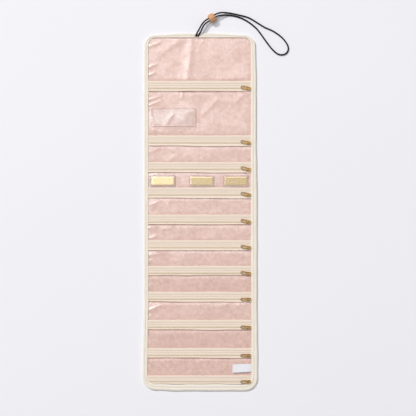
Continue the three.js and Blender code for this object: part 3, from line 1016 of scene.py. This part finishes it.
# Creases of the pockets: start, end, width and height
OWN_CREASES = {
    1: [
        ((-15, 350), (-29, 232), 7.5, 1.9), ((4, 350), (-10, 232), 22.0, 0.8),
        ((-2, 351), (-20, 314), 4.6, 1.0), ((9, 350), (-10, 310), 4.6, 1.0),
        ((-104, 332), (-70, 346), 3.0, 1.3), ((-104, 290), (-80, 300), 2.8, 1.4),
        ((-104, 274), (-86, 282), 2.6, 1.4), ((-40, 348), (-98, 302), 8.0, 1.2),
        ((46, 268), (30, 336), 9.0, 0.7),
    ],
    2: [
        ((-105, 212), (-75, 225), 2.4, 1.4), ((-105, 224), (-73, 234), 2.4, 1.4),
        ((-34, 241), (-36, 222), 3.0, 1.0), ((-20, 206), (-62, 156), 12.0, 0.7),
        ((34, 222), (-2, 188), 5.0, 1.0), ((-98, 206), (-94, 176), 3.2, 1.0),
        ((-92, 164), (-68, 156), 3.4, 0.9), ((-54, 196), (-72, 168), 5.0, 0.9),
        ((90, 236), (60, 205), 8.0, 0.6),
    ],
    3: [((-104, 117), (-76, 129), 2.4, 0.9), ((-62, 101), (-36, 122), 5.0, 0.8)],
    5: [
        ((-96, 13), (-76, 21), 3.0, 1.3), ((-104, -11), (-84, -6), 2.6, 1.4),
        ((-60, 20), (-66, 2), 5.0, 0.6),
    ],
    6: [
        ((-102, -35), (-80, -31), 2.6, 1.4), ((-72, -37), (-46, -32), 2.8, 1.2),
        ((-104, -57), (-84, -50), 2.4, 1.3),
    ],
    7: [((-102, -90), (-60, -84), 2.6, 1.7), ((-104, -103), (-91, -98), 2.4, 0.9)],
    8: [((-104, -152), (-90, -146), 3.0, 0.5), ((-20, -140), (-34, -160), 5.0, 0.4)],
    9: [((-104, -202), (-72, -189), 2.8, 2.0), ((-104, -215), (-94, -210), 2.2, 1.4)],
    10: [
        ((-58, -252), (-52, -280), 3.0, 0.4), ((-45, -249), (-40, -278), 3.4, 0.55),
        ((-32, -247), (-27, -279), 3.0, 0.5), ((-19, -248), (-13, -278), 3.4, 0.4),
    ],
    11: [((-104, -318), (-96, -312), 2.0, 0.6)],
}


def pocket_creases(pocket):
    """A pocket's own creases, and seeded ones from its edges and seams and over its middle."""
    random = np.random.default_rng(300 + pocket)
    low = seams[pocket] + TAPE_HEIGHT
    high = seams[pocket - 1]
    edge = half_width_at(0.0, BINDING_WIDTH)
    creases = list(OWN_CREASES.get(pocket, []))

    def add(start, run, width, lifts):
        end = (start[0] + run[0], start[1] + run[1])
        creases.append((start, end, width, random.uniform(*lifts)))

    for _ in range(0 if pocket in OWN_CREASES else 2):
        foot = high - (high - low) * random.uniform(0.15, 0.75)
        reach = random.uniform(10, 30)
        add((-edge, foot), (reach, reach * random.uniform(0.15, 0.7)), 2.2, (0.9, 1.3))
    for _ in range(2):
        foot = random.uniform(low + 3, high - 3)
        reach = random.uniform(8, 22)
        add((edge, foot), (-reach, random.uniform(-6, 6)), 2.0, (0.3, 0.6))
    for line, way, reaches, leans, lifts in (
        (high, -1, (6, 16), (-7, 3), (0.2, 0.45)),
        (low, 1, (4, 11), (-4, 4), (0.15, 0.35)),
    ):
        for _ in range(5):
            foot = random.uniform(-95, 95)
            reach = way * random.uniform(*reaches)
            add((foot, line), (random.uniform(*leans), reach), 2.8, lifts)
    for _ in range(4):
        start = (random.uniform(-90, 80), random.uniform(low, high))
        add(start, (random.uniform(15, 50), random.uniform(-18, 18)), 5.0, (0.2, 0.45))
    return creases


def window_ends(pocket):
    """A window's lower edge, tucked under its zip, and its upper edge."""
    tuck = LAST_WINDOW_TUCK if pocket == pocket_count else WINDOW_TUCK
    return seams[pocket] + TAPE_HEIGHT - tuck, seams[pocket - 1] - WINDOW_GAP


def window_height(pocket, x, y):
    """The underside of a window."""
    low, high = window_ends(pocket)
    side = half_width_at(y, FILM_INSET) - np.abs(x)
    slack = 1 + 0.2 * ripples(x, y, 45, 20 + pocket)
    reach = np.where(x < 0, 1.4, 5.0)
    rise = (1 - np.exp(-side / reach)) * ((1 - bell(high - y, 3.6)) * (1 - bell(y - low, 4.0)))
    attached = ramp(0, 2.5, side) * ramp(0, 2.5, high - y) * ramp(1.5, 4.5, y - low)
    ridges = np.zeros_like(x)
    for start, end, width, lift in pocket_creases(pocket):
        ridges = ridges + crease(x, y, start, end, width, lift) ** 3
    bulge = WINDOW_BULGE if pocket in TALL_WINDOWS else LOW_WINDOW_BULGE
    wave = WINDOW_WAVE * ripples(x, y, 62, 40 + pocket)
    height = bulge * rise * slack + np.cbrt(ridges) * attached + wave * attached
    for line in DIVIDERS.get(pocket, []):
        height = height * (1 - 0.1 * bell(x - line, 1.1))
    height = np.clip(WINDOW_EDGE_HEIGHT + height, PAD_TOP + 0.25, WINDOW_LIMIT)
    if pocket == PLATE_POCKET:
        for plate, centre in enumerate(PLATE_CENTRES):
            over = sleeve_top(plate, x, y) + OVER_SLEEVE
            near = inside_box(x, y, centre, PLATE_SLEEVE["size"]) > 0
            height = np.where(near, np.maximum(height, over), height)
    return height


def window_top(pocket, x, y):
    return window_height(pocket, x, y) + WINDOW_THICKNESS


def add_window(pocket):
    low, high = window_ends(pocket)
    x, y = strip_grid(stations(low, high, WINDOW_STEP), int(STRIP_WIDTH / WINDOW_STEP), FILM_INSET)
    bottom = window_height(pocket, x, y)
    form = Form()
    add_slab(form, x, y, bottom + WINDOW_THICKNESS, bottom)
    for line in DIVIDERS.get(pocket, []):
        places = np.arange(low + 4, high - 2, STITCH_PITCH)
        top = window_top(pocket, np.full_like(places, line), places)
        add_stitches(form, stacked(line, places, top + 0.1), LENGTHWISE, UP, 1)
    film = painted_shade_vinyl if pocket in PAINTED_SHADE_WINDOWS else vinyl
    window = form.piece(numbered("film", pocket), [film, blush_thread], sharp=60)
    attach(window, numbered("pocket", pocket))
    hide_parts(numbered("window", pocket))


for pocket in pockets:
    add_window(pocket)

# Zip bands: woven tape with a folded upper edge, a coil and a raised lower hem
TAPE_PROFILE = np.array([
    (20.9, 2.75), (21.0, 3.2), (20.6, 3.6), (19.6, 3.8), (17.0, 3.85), (15.6, 3.8), (15.1, 3.35),
    (14.6, 3.3), (14.1, 3.6), (12.4, 3.66), (11.7, 3.55), (11.3, 3.2), (10.8, 3.18), (10.4, 3.42),
    (8.4, 3.45), (7.4, 3.5), (7.05, 3.2), (4.65, 3.2), (4.3, 3.5), (3.4, 3.5), (2.2, 3.52), (1.75, 4.1),
    (1.2, 4.75), (0.8, 4.8), (0.45, 4.45), (0.5, 3.85), (0.9, 3.3), (2.0, 2.65), (12.0, 2.6), (20.0, 2.6),
])
TAPE_STATIONS = 120
TAPE_WAVES = (0.35, 0.5)
LOOSE_TAPES = 8
SLIDER_REACH = 2.0
HEM_LIFT = 0.3
HEM_UNDER_SLIDER = 3.55
HEM_SHIFTS = {
    2: (-0.2, -1.4), 3: (0.0, -0.9), 4: (-0.3, -1.6), 5: (0.8, 0.5), 7: (1.6, 1.6), 8: (0.8, 0.0),
    9: (1.6, 0.5), 10: (1.7, 0.4),
}
LAST_HEM_LIMIT = 3.5
LAST_HEM_SHIFT = 0.6
LAST_TAPE_DROP = 2.6
TAPE_STITCH_ROWS = [(14.8, 3.25), (11.0, 3.15)]
COIL_PITCH = 1.5
COIL_DIP = 0.22
COIL_PROFILE = np.array([
    (-1.15, 2.9), (-1.1, 3.4), (-0.9, 3.95), (-0.6, 4.2), (-0.3, 4.25), (0, 4.05), (0.3, 4.25),
    (0.6, 4.2), (0.9, 3.95), (1.1, 3.4), (1.15, 2.9),
])


def add_tape(pocket):
    seam = seams[pocket]
    shares = np.linspace(-1, 1, TAPE_STATIONS)[:, None]
    offset, height = TAPE_PROFILE.T[:, None, :]
    guess = shares * film_half_width
    wave = TAPE_WAVES[0] if pocket < LOOSE_TAPES else TAPE_WAVES[1]
    sway = wave * ripples(guess, seam, 75, 60 + pocket)
    folded = ramp(15, 20, offset)
    if pocket == pocket_count:
        follow = foot_ruffle(foot_distance(guess)) * ramp(105, 85, np.abs(guess))
        y = seam + offset - LAST_TAPE_DROP * ramp(9, 20, offset) + 0.4 * sway * folded
        y = y + (follow + LAST_HEM_SHIFT) * ramp(3.8, 0.9, offset)
        z = np.where(offset < 2.3, np.minimum(height, LAST_HEM_LIMIT), height)
    else:
        left, right = HEM_SHIFTS.get(pocket, (0.0, 0.0))
        shift = left + (right - left) * ramp(-80, 40, guess)
        lift = HEM_LIFT * ripples(guess, seam, 55, 80 + pocket)
        hem = ramp(2.1, 0.9, offset)
        y = seam + offset + sway * (hem + folded) + shift * ramp(5.0, 0.9, offset)
        z = height + np.clip(lift, -0.3, 0.45) * hem * ramp(2.6, 3.6, height)
        z = np.where((offset < 3) & (y > seam + SLIDER_REACH), np.minimum(z, HEM_UNDER_SLIDER), z)
    x = shares * half_width_at(y, FILM_INSET)
    form = Form()
    add_sweep(form, stacked(x, y, z), stacked(x, run_along(TAPE_PROFILE)))
    places = np.arange(-101, 101.1, STITCH_PITCH)
    for row, level in TAPE_STITCH_ROWS:
        add_stitches(form, stacked(places, seam + row, level), ACROSS, UP, 1)
    tape = form.piece(numbered("tape", pocket), [tape_cloth, cream_thread], sharp=60)
    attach(tape, numbered("pocket", pocket))
    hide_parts(numbered("zip_tape", pocket))


def add_coil(pocket):
    """Two rows of nylon turns that mesh along the middle."""
    line = seams[pocket] + COIL_FROM_SEAM
    end = half_width_at(line, COIL_INSET)
    x = stations(-end, end, COIL_PITCH / 4)[:, None]
    offset, height = COIL_PROFILE.T[:, None, :]
    turn = 2 * math.pi * x / COIL_PITCH + np.where(offset > 0, math.pi, 0)
    z = np.where(height > 3, height - COIL_DIP * (1 - np.cos(turn)), height)
    form = Form()
    add_sweep(form, stacked(x, line + offset, z), stacked(x, offset))
    coil = form.piece(numbered("coil", pocket), [coil_nylon], sharp=80)
    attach(coil, numbered("pocket", pocket))


for pocket in pockets:
    add_tape(pocket)
    add_coil(pocket)

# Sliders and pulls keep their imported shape, with softened edges
SLIDER_EDGE = 0.22
PULL_EDGE = 0.12
WELD_DISTANCE = 0.01


def soften(node, width):
    weld = node.modifiers.new("weld", "WELD")
    weld.merge_threshold = WELD_DISTANCE * MM
    bevel = node.modifiers.new("bevel", "BEVEL")
    bevel.width = width * MM
    bevel.segments = 2
    bevel.limit_method = "ANGLE"
    bevel.angle_limit = math.radians(35)
    bevel.harden_normals = True


for pocket in pockets:
    for kind, gold, width in (("slider", slider_gold, SLIDER_EDGE), ("pull", pull_gold_painted_shade, PULL_EDGE)):
        node = nodes[numbered(kind, pocket)]
        node.data.materials.clear()
        node.data.materials.append(gold)
        soften(node, width)

# Clear card sleeve on the second window
CARD_CENTRE = (-52.2, 189.1)
add_sleeve("card_sleeve", 2, "film_02", lambda x, y: window_top(2, x, y), CARD_CENTRE, **CARD_SLEEVE)

# Blank white label, caught under the right binding at its end and lifted a little at the other
LABEL_ENDS = (66.8, 105.2)
LABEL_SIDES = (-326.2, -310.2)
LABEL_CURVE = [(66.8, 6.3), (74, 5.5), (84, 5.0), (94, 4.9), (100, 4.6), (105.2, 3.9)]
LABEL_STEPS = (1.2, 1.6)
LABEL_THICKNESS = 0.25
LABEL_DROP = 1.5


def add_label():
    across = stations(*LABEL_ENDS, LABEL_STEPS[0])
    rows = stations(*LABEL_SIDES, LABEL_STEPS[1])
    x, y = np.meshgrid(across, rows)
    share = (y - LABEL_SIDES[0]) / (LABEL_SIDES[1] - LABEL_SIDES[0])
    free = (LABEL_ENDS[1] - x) / (LABEL_ENDS[1] - LABEL_ENDS[0])
    z = np.interp(x, *np.array(LABEL_CURVE).T) + 0.7 * free * (0.5 - share)
    z = z + 0.12 * np.sin(x / 4.5) + 0.1 * np.sin(x / 1.9 + y / 2.3)
    y = y + free * (0.9 * (share - 0.5) - LABEL_DROP)
    form = Form()
    add_slab(form, x, y, z + LABEL_THICKNESS, z)
    label = form.piece("blank_label", [label_cloth])
    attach(label, "pocket_11")


add_label()


# Floor and light
def add_floor():
    mesh = bpy.data.meshes.new("floor")
    half = FLOOR_SIZE / 2
    corners = [(-half, -half, 0), (half, -half, 0), (half, half, 0), (-half, half, 0)]
    mesh.from_pydata(corners, [], [(0, 1, 2, 3)])
    mesh.materials.append(new_material("pale_floor", pale_floor))
    floor = add_object("floor", mesh)
    floor.location.z = -FLOOR_DROP


def add_light(name, azimuth, tilt, size, power):
    """A square soft light, tilted from straight above towards its azimuth."""
    data = bpy.data.lights.new(name, "AREA")
    data.shape = "SQUARE"
    data.size = size
    data.energy = power
    light = add_object(name, data)
    turn = math.radians(azimuth)
    flat = math.sin(math.radians(tilt)) * LIGHT_DISTANCE
    height = math.cos(math.radians(tilt)) * LIGHT_DISTANCE
    light.location = (math.cos(turn) * flat, math.sin(turn) * flat, height)
    light.rotation_euler = (-light.location).to_track_quat("-Z", "Y").to_euler()
    light.visible_camera = False


def add_world():
    world = bpy.data.worlds.new("studio")
    bpy.context.scene.world = world
    world.use_nodes = True
    tree = world.node_tree
    tree.nodes.clear()
    light = add_node(tree, "Background", {0: PALE_TINT, 1: WORLD_STRENGTH})
    pale = add_node(tree, "Background", {0: PALE_TINT, 1: BACKDROP_STRENGTH})
    mixed = mix_shaders(tree, seen_rays(tree), light, pale)
    set_inputs(tree, tree.nodes.new("ShaderNodeOutputWorld"), {"Surface": mixed})


add_floor()
for light_values in LIGHTS:
    add_light(*light_values)
add_world()
bpy.context.scene.view_settings.view_transform = "Standard"
